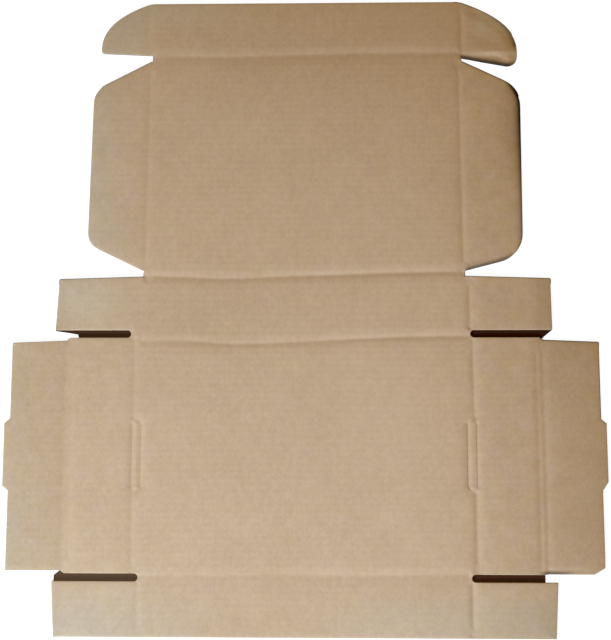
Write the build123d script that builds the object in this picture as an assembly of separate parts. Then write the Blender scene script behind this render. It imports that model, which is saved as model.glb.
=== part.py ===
"""A mailer box as it leaves the die cutter: one flat sheet of single-wall corrugated board.

The sheet lies with the inside of the box facing up. From the front edge to the back it holds the
front wall, the base, the back wall, the lid and the tuck. Side walls grow out of the base, roll over
a double hem and end in panels whose tabs lock into two slots in the base.

Millimetres, +X to the right, +Y from the front wall to the tuck, +Z up. The origin is under the
middle of the sheet's bounding box, on the surface that the sheet lies on.
"""

import os
from dataclasses import dataclass
from math import cos, radians, sin, tan

from build123d import *

# The board
board = 3.0  # thickness of the single-wall board

# The panels in a row, from the front edge to the back
front_wall = 55.0
base_depth = 225.5
back_wall = 63.5
lid_depth = 223.0
tuck = 55.0

# Across the base
base_width = 328.6  # between the side-wall creases
side_wall = 60.6  # height of a side wall, up to its first hem crease
hem = 6.6  # between the two hem creases, which wrap over the folded flaps
rollover = 52.9  # from the second hem crease to the rolled panel's free edge
rollover_back_setback = 2.8  # the rolled panel stops this much short of its wall's back end
rollover_taper = 2.0  # its back end draws in by this much more at the free edge
hem_corner = 3.5  # length of the slanting step between a wall's end and its rolled panel's

# The lock tabs on the rolled panels, and the slots in the base that they click into
tab_reach = 5.5
tab_back = 29.3  # from the wall's middle to the back end of the tab's tip
tab_back_spread = 4.4  # the tab widens by this much from its tip to its root
slot_length = 67.5
slot_width = 9.6
slot_kerf = 0.7  # the knife line round each slot's plug
slot_nick = 1.4  # uncut bridges that hold the plug, at its ends and half-way along it
slot_inset = 3.2  # from the base crease in to the slot's centre line

# The flaps at the ends of the back wall and the front wall
back_flap_crease = 160.2  # from the centre line
back_flap = 79.8
back_flap_setback = 1.0  # the flap starts this much in front of the lid crease
back_flap_taper = 2.4  # and draws in by this much more at its tip
front_flap_crease = 158.2  # from the centre line
front_flap = 81.6
front_flap_lean = 3.0  # the flap's tip leans in by this much at the front edge

# The slits between those flaps and the side walls
slit_width = 7.4
back_slit_shift = 6.3  # from the back crease to the centre line of the slit beside it
slit_rounding = 0.48  # corner radius of a slit's closed end, as a share of the slit's width

# The lid and the tuck
lid_width = 310.4  # between the creases of the lid's flaps
lid_notch_inset = 1.8  # from the lid's side crease out to the notch beside the back wall
lid_notch_height = 5.5  # straight closed end of that notch
ear_crease_shift = 1.6  # the ears fold this much further out than the lid's flaps
ear_shoulder_angle = 20.0  # degrees, at which an ear's outer curve leaves the tuck's edge
ear_shoulder_pull = 0.55  # how far it keeps that direction, as a share of the ear's reach
ear_side_pull = 0.5  # how far it keeps the direction of the ear's side, as a share of its height

# Creases, pressed into the face that becomes the inside
crease_width = 5.2
crease_depth = 0.75
hem_crease_width = 3.4
hem_crease_depth = 0.5


@dataclass
class Side:
    """What the die cut differently on the two sides of the sheet."""

    hand: int  # +1 on the right, -1 on the left
    front_slit_end: float  # from the centre line to the slit's closed end
    back_slit_end: float
    back_flap_spread: float  # the flap's tip leans out by this much at the slit
    rollover_front_setback: float  # the rolled panel stops this much short of its wall's front end
    corner_clip: tuple  # what is clipped off the rolled panel's front corner, along X and Y
    tab_front: float  # from the wall's middle to the front end of the tab's tip
    tab_front_spread: float
    lid_flap: float
    lid_flap_lean: float  # the flap is narrower by this much next to the tuck
    lid_front_slope: float  # degrees, the lid flap's edge next to the back wall
    lid_front_radius: float
    lid_back_slope: float  # degrees, the lid flap's edge next to the tuck
    lid_back_radius: float
    ear_notch_inset: float  # from the lid's side crease in to the notch's closed end
    ear_notch_low: float  # that end's front corner, in front of the tuck crease
    ear_notch_high: float  # its back corner
    ear_reach: float  # from the lid's side crease to the tip
    ear_drop: float  # the ear's front edge comes forward by this much at the tip
    ear_side: float  # straight stretch of the tip, up to where the ear's outer curve starts
    ear_tip_radius: float


left = Side(
    hand=-1,
    front_slit_end=157.6,
    back_slit_end=168.4,
    back_flap_spread=2.6,
    rollover_front_setback=2.4,
    corner_clip=(0, 0),
    tab_front=30.2,
    tab_front_spread=4.6,
    lid_flap=58.2,
    lid_flap_lean=2.8,
    lid_front_slope=25.8,
    lid_front_radius=18.0,
    lid_back_slope=27.4,
    lid_back_radius=21.0,
    ear_notch_inset=2.7,
    ear_notch_low=5.3,
    ear_notch_high=-1.2,
    ear_reach=48.8,
    ear_drop=-2.7,
    ear_side=4.7,
    ear_tip_radius=3.0,
)
right = Side(
    hand=1,
    front_slit_end=159.0,
    back_slit_end=161.5,
    back_flap_spread=0.6,
    rollover_front_setback=0.4,
    corner_clip=(10.3, 6.0),
    tab_front=26.0,
    tab_front_spread=7.8,
    lid_flap=59.4,
    lid_flap_lean=-0.8,
    lid_front_slope=14.5,
    lid_front_radius=29.0,
    lid_back_slope=25.8,
    lid_back_radius=28.0,
    ear_notch_inset=-2.2,
    ear_notch_low=7.0,
    ear_notch_high=3.2,
    ear_reach=58.0,
    ear_drop=10.2,
    ear_side=16.5,
    ear_tip_radius=10.0,
)

# Creases that run across the sheet, counted from the middle of its length
total_depth = front_wall + base_depth + back_wall + lid_depth + tuck
front_edge = -total_depth / 2
front_crease = front_edge + front_wall
back_crease = front_crease + base_depth
lid_crease = back_crease + back_wall
tuck_crease = lid_crease + lid_depth
tuck_edge = tuck_crease + tuck

# Creases that run along the sheet, counted from the centre line
base_crease = base_width / 2
hem_in = base_crease + side_wall
hem_out = hem_in + hem
rollover_edge = hem_out + rollover
lid_side = lid_width / 2
ear_crease = lid_side + ear_crease_shift

# A slit's two edges are the end of a side wall and the edge of a flap
wall_front = front_crease + slit_width / 2
flap_of_front = wall_front - slit_width
wall_back = back_crease + back_slit_shift - slit_width / 2
flap_of_back = wall_back + slit_width
wall_middle = (wall_front + wall_back) / 2


def slit_end(reach, low, high):
    """Corners of a slit's closed end, rounded over almost all of the slit's width."""
    radius = slit_rounding * (high - low)
    return [(reach, low, radius), (reach, high, radius)]


def front_flap_corners(side):
    tip = front_flap_crease + front_flap
    return [(tip - front_flap_lean, front_edge, 0), (tip, flap_of_front, 0)]


def side_wall_corners(side):
    """The end of the side wall, the rolled panel with its tab, and back to the wall's other end."""
    front = wall_front + side.rollover_front_setback
    back = wall_back - rollover_back_setback
    clip_x, clip_y = side.corner_clip
    tip_low, tip_high = wall_middle - side.tab_front, wall_middle + tab_back
    tip = rollover_edge + tab_reach
    corners = [(hem_out - hem_corner, wall_front, 0), (hem_out, front, 0)]
    corners += [(rollover_edge - clip_x, front, 0)] if clip_x else []
    corners += [(rollover_edge, front + clip_y, 0)]
    corners += [(rollover_edge, tip_low - side.tab_front_spread, 0), (tip, tip_low, 0)]
    corners += [(tip, tip_high, 0), (rollover_edge, tip_high + tab_back_spread, 0)]
    corners += [(rollover_edge, back - rollover_taper, 0), (hem_out, back, 0)]
    return corners + [(hem_out - hem_corner, wall_back, 0)]


def back_flap_corners(side):
    tip = back_flap_crease + back_flap
    root = lid_crease - back_flap_setback
    return [(tip + side.back_flap_spread, flap_of_back, 0), (tip, root - back_flap_taper, 0)]


def lid_flap_corners(side):
    """The notch beside the back wall, then the flap, whose corners are cut back in long slopes."""
    notch = lid_side + lid_notch_inset
    low = lid_crease - back_flap_setback
    front_tip = lid_side + side.lid_flap
    back_tip = front_tip - side.lid_flap_lean
    front = low + lid_notch_height + (front_tip - notch) * tan(radians(side.lid_front_slope))
    ear_notch = lid_side - side.ear_notch_inset
    slope = tan(radians(side.lid_back_slope))
    back = tuck_crease - side.ear_notch_low - (back_tip - ear_notch) * slope
    corners = [(notch, low, 0), (notch, low + lid_notch_height, 0)]
    corners += [(front_tip, front, side.lid_front_radius), (back_tip, back, side.lid_back_radius)]
    return corners


def ear_corners(side):
    """The notch in front of the ear, the ear's tip and the straight part of its side."""
    notch = lid_side - side.ear_notch_inset
    back = tuck_crease - side.ear_notch_high
    tip = lid_side + side.ear_reach
    tip_front = back - side.ear_drop
    corners = [(notch, tuck_crease - side.ear_notch_low, 0), (notch, back, 0)]
    return corners + [(tip, tip_front, side.ear_tip_radius), (tip, tip_front + side.ear_side, 0)]


def ear_curve(side):
    """The ear's outer curve, from the end of its straight side to the tuck's back edge."""
    side_x, side_y, _ = ear_corners(side)[-1]
    side_pull = ear_side_pull * (tuck_edge - side_y)
    pull = ear_shoulder_pull * side.ear_reach
    fall = radians(ear_shoulder_angle)
    points = [
        (side_x, side_y),
        (side_x, side_y + side_pull),
        (lid_side + pull * cos(fall), tuck_edge - pull * sin(fall)),
        (lid_side, tuck_edge),
    ]
    return Bezier([(side.hand * x, y) for x, y in points])


def side_corners(side):
    """All corners of one side, from the front edge to the ear, as (x, y, corner radius)."""
    corners = front_flap_corners(side)
    corners += slit_end(side.front_slit_end, flap_of_front, wall_front)
    corners += side_wall_corners(side)
    corners += slit_end(side.back_slit_end, wall_back, flap_of_back)
    corners += back_flap_corners(side) + lid_flap_corners(side) + ear_corners(side)
    return [(side.hand * x, y, radius) for x, y, radius in corners]


def sheet_outline():
    """The die line round the whole sheet, as a face."""
    edges = []
    for side in (left, right):
        edges += Polyline([(x, y) for x, y, _ in side_corners(side)]).edges()
        edges.append(ear_curve(side))
    edges.append(Line((-lid_side, tuck_edge), (lid_side, tuck_edge)))
    edges.append(Line(side_corners(left)[0][:2], side_corners(right)[0][:2]))
    face = Face(Wire(edges))
    for x, y, radius in side_corners(left) + side_corners(right):
        if radius:
            corner = face.vertices().sort_by_distance((x, y))[0]
            face = face.fillet_2d(radius, [corner])
    return face


def groove(start, end, width, depth):
    """A round-bottomed crease between two points of the upper face, as the solid it displaces."""
    radius = (width**2 / 4 + depth**2) / (2 * depth)
    run = Vector(*end) - Vector(*start)
    section = Plane(origin=(*start, board + radius - depth), z_dir=run)
    return extrude(section * Circle(radius), run.length)


def cross_creases():
    """The creases that run across the sheet, each between the slits or notches at its ends."""
    lines = [
        (front_flap_crease, front_crease),
        (back_flap_crease, back_crease),
        (lid_side + lid_notch_inset, lid_crease),
        (lid_side, tuck_crease),
    ]
    return [groove((-x, y), (x, y), crease_width, crease_depth) for x, y in lines]


def side_creases(side):
    """The creases along one side: two in the hem, and one at the root of each other panel."""
    slot_front, slot_back = wall_middle - slot_length / 2, wall_middle + slot_length / 2
    lines = [
        (front_flap_crease, front_edge, flap_of_front),
        (base_crease, wall_front, slot_front),
        (base_crease, slot_back, wall_back),
        (back_flap_crease, flap_of_back, lid_crease),
        (lid_side, lid_crease, tuck_crease - side.ear_notch_low),
        (ear_crease, tuck_crease, tuck_edge),
    ]
    bars = []
    for x, low, high in lines:
        bars.append(groove((side.hand * x, low), (side.hand * x, high), crease_width, crease_depth))
    for x in (hem_in, hem_out):
        start, end = (side.hand * x, wall_front), (side.hand * x, wall_back)
        bars.append(groove(start, end, hem_crease_width, hem_crease_depth))
    return bars


def slot_cut(side):
    """The knife line round one lock slot; the plug stays in, held by four nicks."""
    middle = (side.hand * (base_crease - slot_inset), wall_middle)
    ring = SlotOverall(slot_length, slot_width, 90)
    ring -= SlotOverall(slot_length - 2 * slot_kerf, slot_width - 2 * slot_kerf, 90)
    ring -= Rectangle(slot_nick, slot_length) + Rectangle(slot_width, slot_nick)
    return extrude(Pos(*middle) * ring, board)


blank = extrude(sheet_outline(), board, dir=(0, 0, 1))
blank -= cross_creases() + side_creases(left) + side_creases(right)
blank -= [slot_cut(left), slot_cut(right)]

os.makedirs("parts", exist_ok=True)
export_step(blank, "parts/blank.step")
print("solids", len(blank.solids()), "volume", round(blank.volume), "box", blank.bounding_box())
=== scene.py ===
"""A flattened mailer box: one die-cut sheet of kraft corrugated board, inside face up.

Lengths in the sections on the sheet are in millimetres, as a maker would read them off the die.
The last step of making the mesh turns them into metres.
"""

from math import ceil, cos, floor, hypot, pi, radians

import bpy
import numpy as np
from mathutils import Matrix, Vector
from mathutils.geometry import delaunay_2d_cdt


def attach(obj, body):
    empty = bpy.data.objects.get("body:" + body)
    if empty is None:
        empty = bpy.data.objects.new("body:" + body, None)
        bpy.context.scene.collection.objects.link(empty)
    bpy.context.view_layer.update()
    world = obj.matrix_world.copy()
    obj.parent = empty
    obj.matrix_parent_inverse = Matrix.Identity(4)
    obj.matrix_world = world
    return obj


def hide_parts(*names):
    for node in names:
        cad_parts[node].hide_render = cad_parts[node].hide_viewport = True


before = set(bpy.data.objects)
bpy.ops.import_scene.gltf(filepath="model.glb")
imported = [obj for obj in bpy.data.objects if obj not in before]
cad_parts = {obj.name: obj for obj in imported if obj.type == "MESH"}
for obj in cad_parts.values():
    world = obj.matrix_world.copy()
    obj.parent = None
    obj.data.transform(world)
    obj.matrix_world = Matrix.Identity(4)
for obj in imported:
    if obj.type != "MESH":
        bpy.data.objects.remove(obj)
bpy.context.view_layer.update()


# The die line. A steel-rule die cuts the whole outline in one stroke: panels, slits, notches,
# lock tabs and ears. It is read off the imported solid's underside, so that the board follows it.
MM = 0.001
SHALLOW_TURN = radians(25)  # a smaller turn is a facet of a rounded corner


def loops_of_the_underside(mesh):
    """Closed loops round the faces that lie on the floor, in mm, seen from above."""
    place = [(round(v.co.x / MM, 3), round(v.co.y / MM, 3)) for v in mesh.vertices]
    sides = set()
    for face in mesh.polygons:
        ring = list(face.vertices)
        if max(mesh.vertices[i].co.z for i in ring) < 0.01 * MM:
            sides |= {(place[a], place[b]) for a, b in zip(ring, ring[1:] + ring[:1])}
    onward = {b: a for a, b in sides if (b, a) not in sides}
    loops = []
    while onward:
        start, point = next(iter(sorted(onward.items())))
        loop = [start]
        while point != start:
            loop.append(point)
            point = onward[point]
        for point in loop:
            onward.pop(point)
        loops.append(np.array(loop))
    return loops


def loop_area(loop):
    x, y = loop.T
    return 0.5 * np.sum(x * np.roll(y, -1) - np.roll(x, -1) * y)


def round_off(loop):
    """Cuts each facet of a rounded corner back by a quarter of its shorter side."""
    points = []
    for point, back, ahead in zip(loop, np.roll(loop, 1, 0) - loop, np.roll(loop, -1, 0) - loop):
        turn = np.arccos(np.clip(-back @ ahead / (hypot(*back) * hypot(*ahead)), -1, 1))
        if turn > SHALLOW_TURN:
            points.append(point)
            continue
        cut = 0.25 * min(hypot(*back), hypot(*ahead))
        points += [point + cut * back / hypot(*back), point + cut * ahead / hypot(*ahead)]
    return np.array(points)


def gap_and_facing(x, y):
    """Distance to the die line, negative off the board, and how squarely the cut faces left or right."""
    a, b = die_line, np.roll(die_line, -1, 0)
    run = b - a
    rise = np.where(run[:, 1] == 0, 1, run[:, 1])
    parts = ceil(len(x) / 4000)
    gaps, facings = [], []
    for px, py in zip(np.array_split(x, parts), np.array_split(y, parts)):
        dx, dy = px[:, None] - a[:, 0], py[:, None] - a[:, 1]
        along = np.clip((dx * run[:, 0] + dy * run[:, 1]) / (run**2).sum(1), 0, 1)
        dx_near = np.abs(dx - along * run[:, 0])
        distance = np.hypot(dx_near, dy - along * run[:, 1])
        nearest = (np.arange(len(px)), distance.argmin(1))
        gap = distance[nearest]
        facings.append(dx_near[nearest] / np.maximum(gap, 0.01))
        spans = (a[:, 1] > py[:, None]) != (b[:, 1] > py[:, None])
        crossings = (spans & (dx < dy * run[:, 0] / rise)).sum(1)
        gaps.append(np.where(crossings % 2 == 1, gap, -gap))
    return np.concatenate(gaps), np.concatenate(facings)


def gap_to_cut(x, y):
    return gap_and_facing(x, y)[0]


loops = loops_of_the_underside(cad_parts["blank"].data)
die_line = max(loops, key=lambda loop: abs(loop_area(loop)))
if loop_area(die_line) < 0:
    die_line = die_line[::-1]
die_line = round_off(round_off(die_line))


# The board. Two kraft liners are glued to a fluted paper between them, with the flutes across the
# sheet. The liner sinks a little between two flute tips, which shows as faint washboard lines.
BOARD = 3.0
LINER = 0.3
FLUTING = 0.22
THINNEST = 2 * LINER + FLUTING + 0.08  # board that is crushed flat
FLUTE_PITCH = 6.3
WASHBOARD = 0.026  # half the height of the washboard lines


def washboard(y):
    return WASHBOARD * np.cos(2 * pi * y / FLUTE_PITCH)


def unevenness(x, y):
    """The board is never quite flat: long shallow swells, a tenth of a millimetre high."""
    swell = np.sin(x / 31 + 1.3 * np.sin(y / 67)) + np.sin(y / 43 + 1.1 * np.cos(x / 59) + 0.7)
    return 0.05 * swell + 0.015 * np.sin(x / 11 + y / 17 + np.sin(y / 23))


# The creases. A blunt rule crushes the board along each fold from the inside of the box. The ones
# across the sheet run along a flute and wander with it, and are pressed harder on the right.
FRONT_CREASE = [(-158, -254.6), (-85, -254.4), (-25, -253.2), (75, -253.6), (158, -252.8)]
BACK_CREASE = [(-160, -31.5), (-108, -30.8), (-75, -34.4), (-35, -33.4)]
BACK_CREASE += [(20, -31), (60, -28.8), (105, -27), (160, -26.3)]
LID_CREASE = [(-157, 32.3), (-120, 32), (-82, 29.6), (-50, 30.8)]
LID_CREASE += [(-20, 32.3), (30, 33.5), (75, 35.3), (157, 36.9)]
TUCK_CREASE = [(-155, 255.2), (-110, 255.4), (-75, 254.6), (-30, 255.9), (10, 257), (60, 258), (155, 258)]
# for each: its run, its depth at the two ends, how round its bottom is, and how far its shoulders
# reach on the front or left, and on the back or right
CROSS_CREASES = [
    (FRONT_CREASE, (0.34, 0.78), 2.2, 12.0, 2.7),
    (BACK_CREASE, (0.48, 1.0), 1.2, 3.0, 3.0),
    (LID_CREASE, (0.75, 1.15), 1.3, 3.4, 3.1),
    (TUCK_CREASE, (0.75, 1.15), 1.9, 8.0, 3.3),
]
SIDE_CREASES = [
    ([(-157.7, -311), (-157.7, -259)], (0.5, 0.5), 1.2, 3.4, 3.0),
    ([(159.6, -311), (159.6, -259)], (1.1, 1.1), 1.3, 2.6, 3.0),
    ([(-163.9, -252.5), (-164.6, -175)], (0.52, 0.52), 1.2, 3.0, 3.0),
    ([(-164.4, -107), (-164.8, -28)], (0.55, 0.55), 1.2, 3.0, 3.0),
    ([(164.8, -252.5), (164.8, -175)], (1.25, 1.25), 1.3, 3.0, 3.6),
    ([(164.2, -106), (163.4, -28)], (1.05, 1.05), 1.1, 3.0, 2.8),
    ([(-160.2, -20), (-160.2, 31)], (0.16, 0.16), 1.5, 3.5, 6.0),
    ([(161.2, -20), (161.2, 31)], (1.1, 1.1), 1.2, 2.6, 3.0),
    ([(-155.9, 38), (-153.7, 250)], (0.52, 0.52), 1.2, 3.2, 3.2),
    ([(156.3, 38), (154.2, 249)], (1.0, 1.0), 1.2, 3.0, 3.0),
    ([(-156.4, 257), (-156.4, 311)], (0.6, 0.6), 1.2, 4.5, 2.6),
    ([(157.8, 254), (157.8, 311)], (1.15, 1.15), 1.2, 3.0, 2.3),
    ([(224.9, -252), (224.9, -110), (223.9, -28)], (0.8, 0.8), 1.3, 3.2, 7.0),
    ([(231.2, -252), (231.3, -150), (230.3, -28)], (0.85, 0.85), 1.3, 7.0, 3.4),
]
LEFT_HEM = ([(-227.2, -252), (-228.2, -160), (-228, -28)], (0.5, 0.5), 1.3, 3.2, 3.2)
HEM_FLAT = 3.0  # half the width that is pressed flat between the two creases of the left hem
CREASE_END = 5.0  # a crease runs out softly over this length


def soft_step(t):
    t = np.clip(t, 0, 1)
    return t * t * (3 - 2 * t)


def crease_sink(points, depths, bottom, before, after, across, along):
    """How deep one crease is pressed: deepest on its course, with shoulders that ease out."""
    start, end = points[0][0], points[-1][0]
    stations = np.linspace(start, end, 80)
    course = np.interp(stations, *zip(*points))
    course = np.convolve(np.pad(course, 4, mode="edge"), np.full(9, 1 / 9), "valid")
    off = across - np.interp(along, stations, course)
    ends = soft_step((along - start) / CREASE_END + 0.5) * soft_step((end - along) / CREASE_END + 0.5)
    depth = np.interp(along, (start, end), depths)
    reach = np.where(off < 0, before, after)
    return depth * ends * np.exp(-(np.hypot(off, bottom) - bottom) / reach)


def creases(x, y):
    sink = np.zeros_like(x)
    for points, *shape in CROSS_CREASES:
        sink = np.maximum(sink, crease_sink(points, *shape, y, x))
    narrowed = x - np.clip(x - LEFT_HEM[0][1][0], -HEM_FLAT, HEM_FLAT)
    for (points, *shape), across in [(c, x) for c in SIDE_CREASES] + [(LEFT_HEM, narrowed)]:
        sink = np.maximum(sink, crease_sink([(b, a) for a, b in points], *shape, across, y))
    return sink


# The lock slots. The knife goes round a plug that stays in until the box is set up, so each slot
# shows as a long ring pressed into the board, with the plug a little domed inside it.
SLOT_CENTRES = [(-161.0, -141.2), (161.3, -140.6)]
SLOT_LENGTH = 66.6
SLOT_WIDTH = 8.7  # between the bottoms of the pressed ring, just inside the knife line
SLOT_SINK = 1.0
SLOT_SPREAD_OUT = 3.0
SLOT_SPREAD_IN = 4.8
PLUG_TILTS = [0.0, 0.1]  # the right-hand plug stands up a little on its outer side
KNIFE_SINK = 0.06
KNIFE_WIDTH = 0.5


def gap_to_slot(x, y, centre):
    """Distance out from a slot's knife line, negative on the plug, and 1 at its ends, 0 along its sides."""
    straight = (SLOT_LENGTH - SLOT_WIDTH) / 2
    past = np.maximum(np.abs(y - centre[1]) - straight, 0)
    radius = np.hypot(x - centre[0], past)
    return radius - SLOT_WIDTH / 2, past / np.maximum(radius, 0.01)


def slots(x, y):
    sink = np.zeros_like(x)
    for centre, tilt in zip(SLOT_CENTRES, PLUG_TILTS):
        gap, end = gap_to_slot(x, y, centre)
        spread = np.where(gap < 0, SLOT_SPREAD_IN, SLOT_SPREAD_OUT)
        sink += SLOT_SINK * (1 - 0.45 * end) * np.exp(-(np.hypot(gap, 1.2) - 1.2) / spread)
        sink += KNIFE_SINK * np.exp(-((gap / KNIFE_WIDTH) ** 2))
        sink -= tilt * (x - centre[0]) * soft_step(0.5 - gap / 1.5)
    return sink


# The cut edges. The die squeezes the board as it cuts, so the inside liner bends down to the cut.
# On the right the sheet has been knocked: the side of the lid flap is rolled over, and the ear's tip and
# front are pressed flat. These edges and the front of the lid flap also get painted shade in the paper's
# colour.
SIDE_SINK = 0.5
LEVEL_SINK = 0.2  # along the cuts that run with the flutes
# x from, x to, y from, y to, and how much further or less the board sinks there at such a cut
LEVEL_CHANGES = [
    (-215, -146, 200, 256, -0.2),
    (146, 222, 190, 256, 0.35),
    (-300, -222, -60, -10, -0.2),
    (222, 300, -60, -10, 0.35),
    (146, 262, 8, 42, -0.18),
]
EDGE_REACH = 4.0
ROUNDING = 0.2
ROUNDING_REACH = 0.5
ROLLED_FLAP = ((198, 230), (52, 240), 14)  # across, along, and how softly it starts
ROLL_CORNER = ((226, 300), (-260, -236), 6)
ROLL_CORNER_SINK = 0.5
ROLL_FRONT = -252.3
NOTCH_CORNER = (157, 251)  # the middle of the notch's closed end, in front of the right ear
NOTCH_LEAN = 0.286
PRESSED_EAR_SINK = 2.6
EAR_BULGE = 1.0


def box(x, y, across, along, fade):
    """1 inside a rectangle, easing to 0 over the fade on its inner side."""
    inside = 1.0
    for value, (low, high) in ((x, across), (y, along)):
        inside = inside * soft_step((value - low) / fade) * soft_step((high - value) / fade)
    return inside


def on_ear(x, y):
    """1 behind the middle of the notch in front of the right ear, 0 before it."""
    notch_x, notch_y = NOTCH_CORNER
    return (y > notch_y - NOTCH_LEAN * (x - notch_x)) * soft_step((x - notch_x + 3) / 4)


def pressed_ear(x, y, gap):
    """The ear's front is pressed flat up to a flute, its tip is bent down, and both meet at the corner."""
    front = np.interp(x, (158, 170, 180, 190, 204), (0.2, 0.6, 0.8, 1.0, 0.62))
    front *= 1 - soft_step((y - 254.2) / 5.0)
    side = 0.3 * soft_step((286 - y) / 24) * (1 - soft_step((gap - 0.5) / 7.5)) * soft_step((x - 186) / 10)
    tip = 0.5 * soft_step((x - 190) / 10) * (1 - soft_step((gap - 4.5) / 5.5)) * soft_step((262 - y) / 10)
    return PRESSED_EAR_SINK * on_ear(x, y) * (1 - (1 - front) * (1 - side) * (1 - tip))


def edge_sink(x, y, gap, facing):
    gap = np.maximum(gap, 0)
    level = LEVEL_SINK
    for x0, x1, y0, y1, change in LEVEL_CHANGES:
        level = level + change * box(x, y, (x0, x1), (y0, y1), 8)
    sink = (level + (SIDE_SINK - level) * facing) * np.exp(-gap / EDGE_REACH)
    sink += ROUNDING * np.exp(-gap / ROUNDING_REACH)
    flap = box(x, y, *ROLLED_FLAP)
    sink = (1 - flap) * sink + flap * (1.15 * np.exp(-gap / 1.1) + 0.9 * np.exp(-gap / 4.0))
    sink += ROLL_CORNER_SINK * box(x, y, *ROLL_CORNER) * (1 - soft_step((gap - 3) / 5))
    return sink + pressed_ear(x, y, gap)


def ear_bulge(x, y, gap):
    """The ear stands up a little behind its pressed front."""
    behind_front = soft_step((gap - 3) / 10) * soft_step((44 - gap) / 30)
    return EAR_BULGE * on_ear(x, y) * soft_step((x - 158) / 14) * behind_front


def top_height(x, y, facing=None):
    """Height of the inside face above the underside."""
    sink = creases(x, y)
    gap, nearest_facing = gap_and_facing(x, y)
    rise = (washboard(y) + unevenness(x, y)) * (1 - np.minimum(sink, 1))
    edge = edge_sink(x, y, gap, nearest_facing if facing is None else facing)
    height = BOARD - 0.1 + rise + ear_bulge(x, y, gap) - sink - slots(x, y) - edge
    return np.maximum(height, THINNEST)


# Points on the inside liner. They lie close together across each crease, round the slots and along
# the cut, and far apart along the flutes, where nothing changes.
ROWS_TO_A_FLUTE = 4
CROSS_BAND = 9.0  # half the band of fine rows along a cross crease
SIDE_BANDS = [(146, 173), (217, 239)]
FINE = 1.0
PLAIN_COLUMN = 11.0
EDGE_STEPS = [0.35, 0.9, 1.8, 3.2, 5.0, 7.0, 9.0]
RING_STEPS = [-2.6, -1.5, -0.8, -0.4, -0.2, 0.0, 0.2, 0.4, 0.8, 1.5, 2.6]
PLAIN_STEP = 2.0  # between points along a cut that runs with the flutes
MOUTH_SLOPE = 0.35  # a cut that faces this much across the sheet opens the flutes


def outward(a, b):
    """The direction off the board, square to the cut from a to b."""
    dx, dy = b - a
    return np.array((dy, -dx)) / hypot(dx, dy)


def stepped_cut():
    """Points along the die line, and whether the cut from each to the next opens the flutes."""
    points, opens = [], []
    step = FLUTE_PITCH / 8
    for a, b in zip(die_line, np.roll(die_line, -1, 0)):
        mouth = abs(outward(a, b)[0]) > MOUTH_SLOPE
        if mouth:
            low, high = sorted((a[1], b[1]))
            rows = [k * step for k in range(ceil(low / step), floor(high / step) + 1)]
            rows = [y for y in rows if low + 0.15 < y < high - 0.15]
            marks = sorted((y - a[1]) / (b[1] - a[1]) for y in rows)
        else:
            count = max(1, round(hypot(*(b - a)) / PLAIN_STEP))
            marks = [k / count for k in range(1, count)]
        for t in [0.0] + marks:
            points.append(a + t * (b - a))
            opens.append(mouth)
    return np.array(points), opens


# where points lie still closer: the pressed front of the right ear, and the sunk roll corner with its
# painted shade
EAR_PATCH = ((156.4, 214), (243, 290))
CORNER_PATCH = ((222, 264), (ROLL_FRONT, -243))
PATCH_STEPS = (1.1, 1.2)


def on_pressed_ear(x, y):
    return (on_ear(x, y) > 0.5) & (y < EAR_PATCH[1][1])


def field_points():
    """A grid of points over the board, clear of the cut and of the slots' knife lines."""
    reach = die_line.max(0)
    step = FLUTE_PITCH / ROWS_TO_A_FLUTE
    fine = []
    for points, *_ in CROSS_CREASES:
        heights = [y for _, y in points]
        fine += list(np.arange(min(heights) - CROSS_BAND, max(heights) + CROSS_BAND, FINE))
    plain = [k * step for k in range(ceil(-reach[1] / step), floor(reach[1] / step) + 1)]
    rows = fine + [y for y in plain if min(abs(y - f) for f in fine) > 0.6 * FINE]
    columns = np.arange(0, reach[0], PLAIN_COLUMN)
    columns = [x for x in columns if not any(a < x < b for a, b in SIDE_BANDS)]
    columns += [x for a, b in SIDE_BANDS for x in np.arange(a, b + FINE / 2, FINE)]
    columns += [-x for x in columns if x]
    x, y = (grid.ravel() for grid in np.meshgrid(sorted(columns), sorted(rows)))
    keep = (gap_to_cut(x, y) > EDGE_STEPS[-1] + 0.8) & ~on_pressed_ear(x, y)
    for centre in SLOT_CENTRES:
        keep &= np.abs(gap_to_slot(x, y, centre)[0]) > RING_STEPS[-1] + 0.6
    grids = [np.column_stack((x[keep], y[keep]))]
    for patch in (EAR_PATCH, CORNER_PATCH):
        columns, rows = (np.arange(*span, step) for span, step in zip(patch, PATCH_STEPS))
        x, y = (grid.ravel() for grid in np.meshgrid(columns, rows))
        keep = gap_to_cut(x, y) > 1.4
        if patch is EAR_PATCH:
            keep &= on_pressed_ear(x, y)
        grids.append(np.column_stack((x[keep], y[keep])))
    return np.concatenate(grids)


def points_along_the_cut():
    """Rows of points that follow the cut at growing distances, none of them nearer than that."""
    rows = []
    for number, step in enumerate(EDGE_STEPS):
        row = (cut - step * normals)[:: 1 + number // 2]
        keep = gap_to_cut(*row.T) > 0.93 * step
        if step > 1:
            keep &= ~on_pressed_ear(*row.T)
        rows.append(row[keep])
    return np.concatenate(rows)


def points_round_the_slots():
    straight = (SLOT_LENGTH - SLOT_WIDTH) / 2
    rows = []
    for cx, cy in SLOT_CENTRES:
        for step in RING_STEPS:
            radius = SLOT_WIDTH / 2 + step
            bend = np.linspace(0, pi, max(6, round(pi * radius)) + 1)
            side = np.linspace(-straight, straight, round(2 * straight))[1:-1]
            arc = np.column_stack((radius * np.cos(bend), straight + radius * np.sin(bend)))
            for way in (-1, 1):
                flank = np.column_stack((np.full_like(side, way * radius), side))
                rows += [way * arc + (cx, cy), flank + (cx, cy)]
    return np.concatenate(rows)


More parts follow.
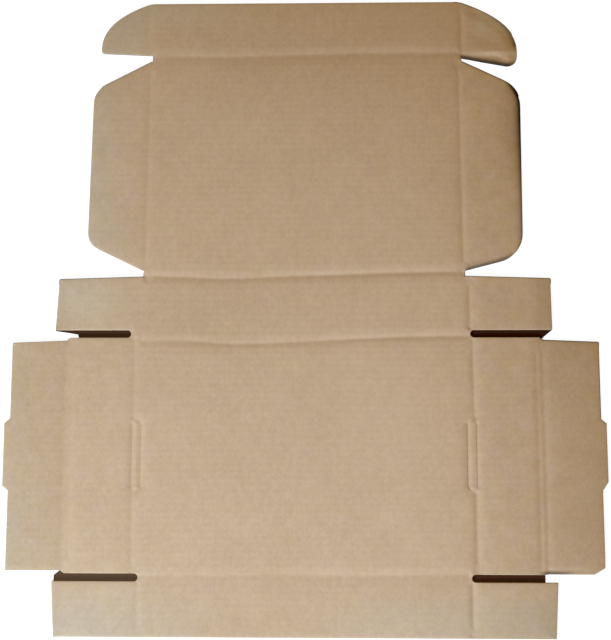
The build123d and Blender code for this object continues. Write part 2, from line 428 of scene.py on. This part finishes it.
def fill(cut, inner):
    """Triangles over the board between the cut and the points inside it, numbered cut first."""
    points = [Vector(point) for point in (*cut, *inner)]
    _, _, triangles, source, _, _ = delaunay_2d_cdt(points, [], [list(range(len(cut)))], 1, 1e-4)
    return [[source[corner][0] for corner in triangle] for triangle in triangles]


# The sheet's mesh is one closed skin: the inside liner, the outside liner, and the cut edges with
# the open flute ends, sunk a few millimetres into the board between the two liners.
MOUTH_DEPTH = 7.0
NARROW_MOUTH = 1.0  # depth beside a crease, near the closed end of a slit or notch
CHANNEL_DEPTH = 0.7  # depth of the gap between the liners along a cut that runs with the flutes
KRAFT_LINER, FLUTED_PAPER = 0, 1

cut, opens = stepped_cut()
count = len(cut)
normals = np.array([outward(a, b) for a, b in zip(np.roll(cut, 1, 0), np.roll(cut, -1, 0))])
edge_tops = top_height(*cut.T, np.abs(normals[:, 0]))
vertices, faces, papers = [], [], []


def add_vertex(x, y, z):
    vertices.append((x * MM, y * MM, z * MM))
    return len(vertices) - 1


def add_face(corners, paper=KRAFT_LINER):
    """Adds a face, leaving out corners that fall together."""
    kept = [c for c, following in zip(corners, corners[1:] + corners[:1]) if c != following]
    if len(kept) > 2:
        faces.append(kept)
        papers.append(paper)


class Post:
    """The corners above one point of the cut: the liners' edges and the fluting between them."""

    def __init__(self, number):
        self.here = cut[number]
        self.opens = opens[number - 1] or opens[number]
        self.turns = opens[number - 1] != opens[number]
        ceiling = edge_tops[number] - LINER
        swing = (ceiling - LINER - FLUTING) / 2 - 0.02
        wave = (ceiling + LINER - FLUTING) / 2 + swing * cos(2 * pi * self.here[1] / FLUTE_PITCH)
        self.levels = [0, LINER, wave, wave + FLUTING, ceiling, edge_tops[number]]
        self.between = (1, 2, 3, 4) if self.opens else (1, 4)
        self.front = {k: add_vertex(*self.here, self.levels[k]) for k in (0, *self.between, 5)}
        self.back = self.front

    def sink(self, offset):
        """Moves the back of the flute end, or of the gap between the liners, into the board."""
        x, y = self.here + offset
        self.back = {k: add_vertex(x, y, self.levels[k]) for k in self.between}


def distance_to_turn(numbers):
    """For each post, the straight distance back to the last one where mouths and plain cut meet."""
    turns = [k for k in numbers if posts[k].turns]
    seen, distance = turns[-1], {}
    for k in numbers:
        seen = k if posts[k].turns else seen
        distance[k] = hypot(*(cut[k] - cut[seen]))
    return distance


posts = [Post(number) for number in range(count)]
room_before = distance_to_turn(range(count))
room_after = distance_to_turn(range(count - 1, -1, -1))
for k, post in enumerate(posts):
    room = min(room_before[k], room_after[k])
    if post.opens:
        away_from_crease = soft_step((abs(post.here[0]) - 172) / 12)
        depth = NARROW_MOUTH + (MOUTH_DEPTH - NARROW_MOUTH) * away_from_crease
        offset = np.array((-np.sign(normals[k, 0]) * depth * min(max(room - 1.0, 0), 1), 0.0))
    else:
        offset = -CHANNEL_DEPTH * min(room / 2, 1) * normals[k]
    if not post.turns and hypot(*offset) > 0.01:
        post.sink(offset)

for k in range(count):
    a, b = posts[k], posts[(k + 1) % count]
    for low, high in ((0, 1), (4, 5)):
        add_face([a.front[low], b.front[low], b.front[high], a.front[high]])
    if opens[k]:
        add_face([a.front[2], b.front[2], b.front[3], a.front[3]], FLUTED_PAPER)
        for low, high, bed, roof in ((1, 2, KRAFT_LINER, FLUTED_PAPER), (3, 4, FLUTED_PAPER, KRAFT_LINER)):
            add_face([b.front[low], b.back[low], a.back[low], a.front[low]], bed)
            add_face([a.front[high], a.back[high], b.back[high], b.front[high]], roof)
            add_face([a.back[low], b.back[low], b.back[high], a.back[high]], FLUTED_PAPER)
    else:
        add_face([b.front[1], b.back[1], a.back[1], a.front[1]])
        add_face([a.front[4], a.back[4], b.back[4], b.front[4]])
        ends = [b.back[level] for level in b.between] + [a.back[level] for level in reversed(a.between)]
        add_face(ends, FLUTED_PAPER)

inner = np.concatenate((points_along_the_cut(), points_round_the_slots(), field_points()))
heights = top_height(*inner.T)
on_top = [post.front[5] for post in posts] + [add_vertex(x, y, z) for (x, y), z in zip(inner, heights)]
for triangle in fill(cut, inner):
    add_face([on_top[corner] for corner in triangle])

grid = np.array([(x, y) for x in range(-276, 277, 24) for y in range(-300, 301, 24)], float)
grid = grid[gap_to_cut(*grid.T) > 1]
below = [post.front[0] for post in posts] + [add_vertex(x, y, 0) for x, y in grid]
for triangle in fill(cut, grid):
    add_face([below[corner] for corner in reversed(triangle)])

mesh = bpy.data.meshes.new("sheet")
mesh.from_pydata(vertices, [], faces)
mesh.polygons.foreach_set("material_index", papers)
mesh.polygons.foreach_set("use_smooth", [True] * len(faces))
mesh.update()
mesh.set_sharp_from_angle(angle=radians(38))
sheet = bpy.data.objects.new("sheet", mesh)
bpy.context.scene.collection.objects.link(sheet)
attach(sheet, "root")
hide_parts("blank")


# The paper. Unbleached kraft liner with a slight mottle, its fibres lying square to the flutes. It
# is browner on the right and greyer on the left-hand and front flaps and the ears, and it has been
# handled: a grey rub mark on the lid. Painted shade darkens the knocked edges on the right, and a
# painted highlight lies along the top of the pressed ear's front.
EARS_FROM = 247  # y from which the ears begin


def painted_ridge_highlight(x, y):
    """Painted highlight: paler colour along the top of the ear's pressed front."""
    ridge = np.interp(x, (180, 192, 200, 206), (256.8, 256.9, 252.8, 251))
    return 0.16 * on_ear(x, y) * soft_step((x - 176) / 10) * np.exp(-(((y - ridge) / 1.8) ** 2))


def painted_edge_shade(x, y):
    """Painted shade along the bent and knocked edges on the right, less the painted highlight on the ear's
    ridge: how much darker the colour is painted, 0 for none, 1 for black.
    """
    gap, facing = gap_and_facing(x, y)
    gap = np.maximum(gap, 0)
    front = 1 - facing**2
    side = box(x, y, *ROLLED_FLAP) * np.interp(y, (80, 110, 150, 200), (0.6, 0.7, 0.92, 0.97))
    side *= np.exp(-np.maximum(gap - np.interp(y, (110, 150, 200), (0.2, 0.6, 1.7)), 0) / 2.4)
    ear_front = 0.86 * front * on_ear(x, y) * soft_step((264 - y) / 4)
    ear_front *= 1 - soft_step((gap - 1.2) / np.interp(x, (165, 180, 190, 200), (3.9, 4.2, 5.2, 3.8)))
    ear_side = np.interp(y, (256, 262, 266, 270, 280, 288, 300), (0, 0.3, 0.68, 0.62, 0.42, 0.28, 0))
    ear_side = ear_side * on_ear(x, y) * soft_step((x - 175) / 10) * (1 - soft_step((gap - 1.5) / 4.5))
    flap = 0.7 * front * box(x, y, (156, 206), (34, 60), 4) * (1 - soft_step((gap - 1.6) / 2.6))
    corner = np.interp(x, (222, 229, 244, 258), (0, 0.6, 0.5, 0)) * (y < -236) * (y > ROLL_FRONT - 1)
    corner = corner * front * (1 - soft_step((gap - 1.8) / 2.2))
    return np.maximum.reduce((side, ear_front, ear_side, flap, corner)) - painted_ridge_highlight(x, y)


def soiling(x, y):
    """How strong the patches in the paper are: most on the lid's right-hand flap."""
    outer = soft_step((np.abs(x) - 140) / 40)
    lid = soft_step((y - 15) / 30) * soft_step((265 - y) / 20)
    rolled = soft_step((np.abs(x) - 224) / 12)
    side = np.where(x > 0, 1.5 - 1.0 * rolled, 0.4)
    patches = 1.15 + outer * ((1 - lid) * side + lid * np.where(x > 0, 1.8, 0.6))
    return np.where((y > EARS_FROM) & (x > 150), 0.7, patches)


# x, y, how far the tone reaches across and along, and how much browner the paper is there
BROWN_TONES = [
    (85, -130, 60, 110, -0.06),
    (95, 110, 65, 110, -0.055),
    (-95, -5, 65, 45, 0.07),
    (-35, 255, 75, 45, 0.05),
    (-70, -305, 65, 22, 0.075),
    (-225, 10, 40, 22, -0.05),
    (-200, -300, 60, 25, 0.035),
    (235, -300, 40, 25, 0.035),
]
GREY_TONES = [
    (-215, -300, 75, 28, 0.5),
    (225, -300, 80, 28, 0.45),
    (90, -300, 60, 25, 0.25),
    (-225, 10, 40, 25, 0.5),
    (-290, -215, 25, 35, 0.4),
    (-290, -80, 20, 60, 0.15),
    (-130, 305, 60, 20, 0.4),
]


def drift(x, y, tones):
    """Slow drift in the paper's tone from one part of the sheet to another."""
    total = np.zeros_like(x)
    for middle_x, middle_y, across, along, amount in tones:
        total += amount * np.exp(-(((x - middle_x) / across) ** 2) - ((y - middle_y) / along) ** 2)
    return total


def darker_tone(x, y):
    """Browner and darker paper, above all on the lid's right flap and on the rolled panels."""
    flap = np.interp(x, (186, 196, 202, 208, 213), (0, 0.06, 0.13, 0.27, 0.42))
    flap = flap * np.interp(y, (100, 140, 165, 205, 222, 232, 245), (0, 0.6, 1, 1, 0.75, 0.3, 0))
    right_roll = np.interp(y, (-240, -200, -130, -70, -20), (0, 0.04, 0.03, 0.07, 0.14))
    right_roll *= soft_step((x - 218) / 12)
    left_roll = 0.075 * soft_step((-226 - x) / 10)
    left_ear = -0.05 * soft_step((-146 - x) / 20) * (y > EARS_FROM)
    right_ear = 0.04 * soft_step((x - 160) / 6) * (y > EARS_FROM)
    right_ear -= 0.16 * soft_step((x - 165) / 12) * soft_step((y - 265) / 25)
    return drift(x, y, BROWN_TONES) + flap + right_roll + left_roll + left_ear + right_ear


def greyness(x, y):
    """Greyer paper, on the left-hand flaps, both ears and the front wall and its flaps."""
    flap = np.interp(-x, (160, 180, 204), (0, 0.12, 0.4)) * soft_step((y - 20) / 20)
    left = np.interp(-x, (146, 165, 180), (0, 0.3, 0.5))
    right = 0.5 * soft_step((x - 165) / 12) * soft_step((y - 268) / 20)
    left_roll = 0.05 * soft_step((-226 - x) / 10)
    return drift(x, y, GREY_TONES) + left_roll + np.where(y > EARS_FROM, left + right, flap)


x, y, _ = np.array(vertices).T / MM
for mark in (painted_edge_shade, soiling, darker_tone, greyness):
    mesh.attributes.new(mark.__name__, "FLOAT", "POINT").data.foreach_set("value", mark(x, y))

KRAFT = (0.4727, 0.3455, 0.2234)
FLUTING_KRAFT = (0.36, 0.25, 0.155)
# how much red, green and blue fall where the paper is darker
HUE = (0.85, 1.0, 1.35)
# across in mm, stretch along the fibres, detail, strength
MOTTLES = [(0.6, 3.0, 1, 0.12), (2.4, 1.3, 1, 0.2), (7.0, 1.1, 1, 0.12), (45.0, 1.0, 1, 0.1)]
# warmer and cooler patches: across in mm, stretch, detail, and what they add to red, green and blue
PATCH = (13.0, 1.0, 1.0)
PATCH_HUE = (0.01, 0.015, -0.12)
PATCH_STAIN = 0.07
GREY_HUE = (-0.1, 0.1, 0.3)
RUB_MARK = (-11.7, 113.0)
RUB_WIDTH = 4.0
RUB_STRETCH = 2.2  # its length, as a share of its width


def paper_material(name, colour):
    material = bpy.data.materials.new(name)
    material.use_nodes = True
    nodes, links = material.node_tree.nodes, material.node_tree.links
    shader = nodes["Principled BSDF"]
    shader.inputs["Roughness"].default_value = 0.88
    shader.inputs["Specular IOR Level"].default_value = 0.2
    place = nodes.new("ShaderNodeTexCoord").outputs["Object"]

    def mapped(size, stretch, shift):
        mapping = nodes.new("ShaderNodeMapping")
        scale = 1 / (size * MM)
        mapping.inputs["Scale"].default_value = (scale, 1 / (size * stretch * MM), scale)
        mapping.inputs["Location"].default_value = shift
        links.new(place, mapping.inputs["Vector"])
        return mapping.outputs["Vector"]

    def noise(size, stretch, detail, seed):
        texture = nodes.new("ShaderNodeTexNoise")
        texture.inputs["Scale"].default_value = 1.0
        texture.inputs["Detail"].default_value = detail
        links.new(mapped(size, stretch, (seed, 0.7 * seed, 1.3 * seed)), texture.inputs["Vector"])
        return texture.outputs["Fac"]

    def calculate(operation, first, second, third=0.0):
        node = nodes.new("ShaderNodeMath")
        node.operation = operation
        for socket, value in zip(node.inputs, (first, second, third)):
            if isinstance(value, float):
                socket.default_value = value
            else:
                links.new(value, socket)
        return node.outputs[0]

    shade = 0.0
    for number, (size, stretch, detail, strength) in enumerate(MOTTLES):
        mottle = calculate("SUBTRACT", noise(size, stretch, float(detail), 3.1 + 5.7 * number), 0.5)
        shade = calculate("MULTIPLY_ADD", mottle, strength, shade)
    rub = nodes.new("ShaderNodeVectorMath")
    rub.operation = "LENGTH"
    x, y = RUB_MARK
    shift = (-x / RUB_WIDTH, -y / (RUB_WIDTH * RUB_STRETCH), -0.72)
    links.new(mapped(RUB_WIDTH, RUB_STRETCH, shift), rub.inputs[0])
    rubbing = calculate("MAXIMUM", calculate("SUBTRACT", 1.0, rub.outputs["Value"]), 0.0)
    shade = calculate("MULTIPLY_ADD", rubbing, -0.1, shade)

    def amount_of(mark):
        node = nodes.new("ShaderNodeAttribute")
        node.attribute_name = mark.__name__
        return node.outputs["Fac"]

    shade = calculate("SUBTRACT", shade, amount_of(darker_tone))
    soiled = amount_of(soiling)
    warmth = calculate("SUBTRACT", noise(*PATCH, 41.0), 0.5)
    warmth = calculate("MULTIPLY", warmth, soiled)
    darker_patch = calculate("SUBTRACT", noise(*PATCH, 17.0), 0.5)
    darker_patch = calculate("MULTIPLY", darker_patch, soiled)
    shade = calculate("MULTIPLY_ADD", darker_patch, PATCH_STAIN, shade)
    # painted shade: the colour is scaled down along the knocked edges, and lifted by the painted highlight
    # on the ear's ridge
    kept_light = calculate("SUBTRACT", 1.0, amount_of(painted_edge_shade))
    tint = colour
    for amount, hue in ((shade, HUE), (warmth, PATCH_HUE), (amount_of(greyness), GREY_HUE)):
        mix = nodes.new("ShaderNodeVectorMath")
        mix.operation = "MULTIPLY_ADD"
        links.new(amount, mix.inputs[0])
        mix.inputs[1].default_value = [part * share for part, share in zip(colour, hue)]
        if tint is colour:
            mix.inputs[2].default_value = colour
        else:
            links.new(tint, mix.inputs[2])
        tint = mix.outputs["Vector"]
    final = nodes.new("ShaderNodeVectorMath")
    final.operation = "SCALE"
    links.new(tint, final.inputs[0])
    links.new(kept_light, final.inputs["Scale"])
    links.new(final.outputs["Vector"], shader.inputs["Base Color"])
    bump = nodes.new("ShaderNodeBump")
    bump.inputs["Strength"].default_value = 0.6
    bump.inputs["Distance"].default_value = 0.02 * MM
    links.new(noise(0.5, 3.0, 2.0, 9.4), bump.inputs["Height"])
    links.new(bump.outputs["Normal"], shader.inputs["Normal"])
    return material


sheet.data.materials.append(paper_material("kraft liner", KRAFT))
sheet.data.materials.append(paper_material("fluting paper", FLUTING_KRAFT))


# The camera. It looks down at the sheet from nearly overhead, from a little way in front of the
# middle, so that the front of the sheet lies nearer than the tuck.
camera = bpy.data.cameras.new("camera")
camera.lens = 50
camera.sensor_width = 36
eye = bpy.data.objects.new("camera", camera)
eye.location = (0.0170018, -0.0987258, 0.862978)
eye.rotation_euler = (radians(5.83879255), radians(1.01393426), radians(0.03910621))
bpy.context.scene.collection.objects.link(eye)
bpy.context.scene.camera = eye


# The stage. A white floor, and dark brown sheets of painted shade just above it: they show through the
# four slits, and as a hairline of painted shadow round the edges that stand up a little from it.
FLOOR = -0.3
# height of the dark sheets of painted shade, just above the floor
PAINTED_SHADE_LEVEL = -0.12
FLOOR_REACH = 4000


def stage_mesh(name, points, polygons, material):
    surface = bpy.data.meshes.new(name)
    surface.from_pydata([tuple(MM * part for part in point) for point in points], [], polygons)
    surface.materials.append(material)
    thing = bpy.data.objects.new(name, surface)
    bpy.context.scene.collection.objects.link(thing)


white = bpy.data.materials.new("white floor")
white.use_nodes = True
nodes, links = white.node_tree.nodes, white.node_tree.links
shader = nodes["Principled BSDF"]
shader.inputs["Base Color"].default_value = (0.4, 0.4, 0.4, 1)
shader.inputs["Roughness"].default_value = 1.0
shader.inputs["Specular IOR Level"].default_value = 0.0
shader.inputs["Emission Color"].default_value = (0.87, 0.93, 1, 1)
ray = nodes.new("ShaderNodeLightPath")
seen = nodes.new("ShaderNodeMath")
seen.operation = "MAXIMUM"
links.new(ray.outputs["Is Camera Ray"], seen.inputs[0])
links.new(ray.outputs["Is Glossy Ray"], seen.inputs[1])
glow = nodes.new("ShaderNodeMath")
glow.operation = "MULTIPLY"
glow.inputs[1].default_value = 0.93
links.new(seen.outputs[0], glow.inputs[0])
links.new(glow.outputs[0], shader.inputs["Emission Strength"])
corners = [(x * FLOOR_REACH, y * FLOOR_REACH, FLOOR) for x, y in ((-1, -1), (1, -1), (1, 1), (-1, 1))]
stage_mesh("floor", corners, [(0, 1, 2, 3)], white)


# A dark sheet of painted shade; its emission paints in the light that reaches it.
def painted_shade_material(name, painted_glow):
    shade_paint = bpy.data.materials.new(name)
    shade_paint.use_nodes = True
    shader = shade_paint.node_tree.nodes["Principled BSDF"]
    shader.inputs["Base Color"].default_value = (0.032, 0.0125, 0.006, 1)
    shader.inputs["Roughness"].default_value = 0.8
    shader.inputs["Specular IOR Level"].default_value = 0.0
    shader.inputs["Emission Color"].default_value = (*painted_glow, 1)
    shader.inputs["Emission Strength"].default_value = 1.0
    return shade_paint


# the outline of the dark sheet of painted shade below each slit
BACK_LEFT = [(-219, -32), (-150, -32), (-150, -16), (-243, -16), (-243, -21.2), (-221, -24.5)]
BACK_RIGHT = [(150, -32), (227, -32), (241, -20.4), (241, -16), (150, -16)]
FRONT_LEFT = [(-238.3, -264), (-150, -264), (-150, -248), (-230, -248), (-238.3, -254.3)]
FRONT_RIGHT = [(150, -264), (228.4, -264), (228.4, -248), (150, -248)]
# and the painted glow that makes it paler there, standing in for the light that reaches in
SLIT_SHADES = [
    (BACK_LEFT, (0.022, 0.012, 0.005)),
    (BACK_RIGHT, (0.003, 0.0, 0.0)),
    (FRONT_LEFT, (0.067, 0.045, 0.027)),
    (FRONT_RIGHT, (0.018, 0.008, 0.003)),
]
for outline, painted_glow in SLIT_SHADES:
    corners = [(x, y, PAINTED_SHADE_LEVEL) for x, y in outline]
    one_face = [tuple(range(len(corners)))]
    stage_mesh("painted shade in a slit", corners, one_face, painted_shade_material("painted slit shade with glow", painted_glow))

# x from, x to, y from, y to, and how much of the painted shadow shows past the cut there
EDGE_SHADOW_STRIPS = [
    (150, 214, 215, 250, 0.3),
    (150, 204, 36, 50, 0.15),
    (150, 245, 26, 36, 0.4),
    (158, 207, 268, 312, 0.2),
    (-245, -150, 26, 36, 0.25),
    (228, 290, -36, -26, 0.5),
    (280, 292, -110, -26, 0.2),
    (-204, -150, 225, 250, 0.1),
]
UNDER_BOARD = 1.2  # how far the painted shadow strips reach in under the board
widths = np.zeros(count)
for x0, x1, y0, y1, width in EDGE_SHADOW_STRIPS:
    inside = (cut[:, 0] > x0) & (cut[:, 0] < x1) & (cut[:, 1] > y0) & (cut[:, 1] < y1)
    widths = np.maximum(widths, width * inside)
widths = np.convolve(np.pad(widths, 3, mode="wrap"), np.full(7, 1 / 7), "valid")
eye_x, eye_y, eye_z = eye.location / MM
away = ((cut - (eye_x, eye_y)) * normals).sum(1)
hidden = np.maximum(away, 0) * (BOARD - PAINTED_SHADE_LEVEL) / (eye_z - BOARD)  # by the board above the painted shadow
shown = np.where(widths > 0, widths + hidden, 0)
inner_side, outer_side = cut - UNDER_BOARD * normals, cut + shown[:, None] * normals
rim = [(x, y, PAINTED_SHADE_LEVEL) for x, y in (*inner_side, *outer_side)]
strips = [(k, count + k, count + (k + 1) % count, (k + 1) % count) for k in range(count)]
strips = [s for s in strips if widths[s[0]] + widths[s[3]] > 0.01]
stage_mesh("painted shadow at the edges", rim, strips, painted_shade_material("painted edge shadow", (0, 0, 0)))


# The light. A lamp stands in for a window at the front left, and its cone fades out over the
# sheet, so the tuck lies dimmer. The room adds a little warm light from all round.
lamp = bpy.data.lights.new("window", "SPOT")
lamp.energy = 431
lamp.color = (0.545, 0.703, 0.93)
lamp.spot_size = radians(44.7)
lamp.spot_blend = 0.511
lamp.shadow_soft_size = 0.05
window = bpy.data.objects.new("window", lamp)
window.location = (-1.0, -1.7, 1.0)
window.rotation_euler = (Vector((-0.48, -0.722, 0)) - window.location).to_track_quat("-Z", "Y").to_euler()
window.visible_camera = False
bpy.context.scene.collection.objects.link(window)

room = bpy.data.worlds.new("room")
bpy.context.scene.world = room
room.use_nodes = True
nodes, links = room.node_tree.nodes, room.node_tree.links
warm = nodes["Background"]
warm.inputs["Color"].default_value = (0.46, 0.297, 0.07, 1)
warm.inputs["Strength"].default_value = 1.0
backdrop = nodes.new("ShaderNodeBackground")
backdrop.inputs["Color"].default_value = (1, 1, 1, 1)
ray = nodes.new("ShaderNodeLightPath")
seen = nodes.new("ShaderNodeMath")
seen.operation = "MAXIMUM"
links.new(ray.outputs["Is Camera Ray"], seen.inputs[0])
links.new(ray.outputs["Is Transmission Ray"], seen.inputs[1])
mix = nodes.new("ShaderNodeMixShader")
links.new(seen.outputs[0], mix.inputs["Fac"])
links.new(warm.outputs[0], mix.inputs[1])
links.new(backdrop.outputs[0], mix.inputs[2])
links.new(mix.outputs[0], nodes["World Output"].inputs["Surface"])
bpy.context.scene.view_settings.view_transform = "Standard"
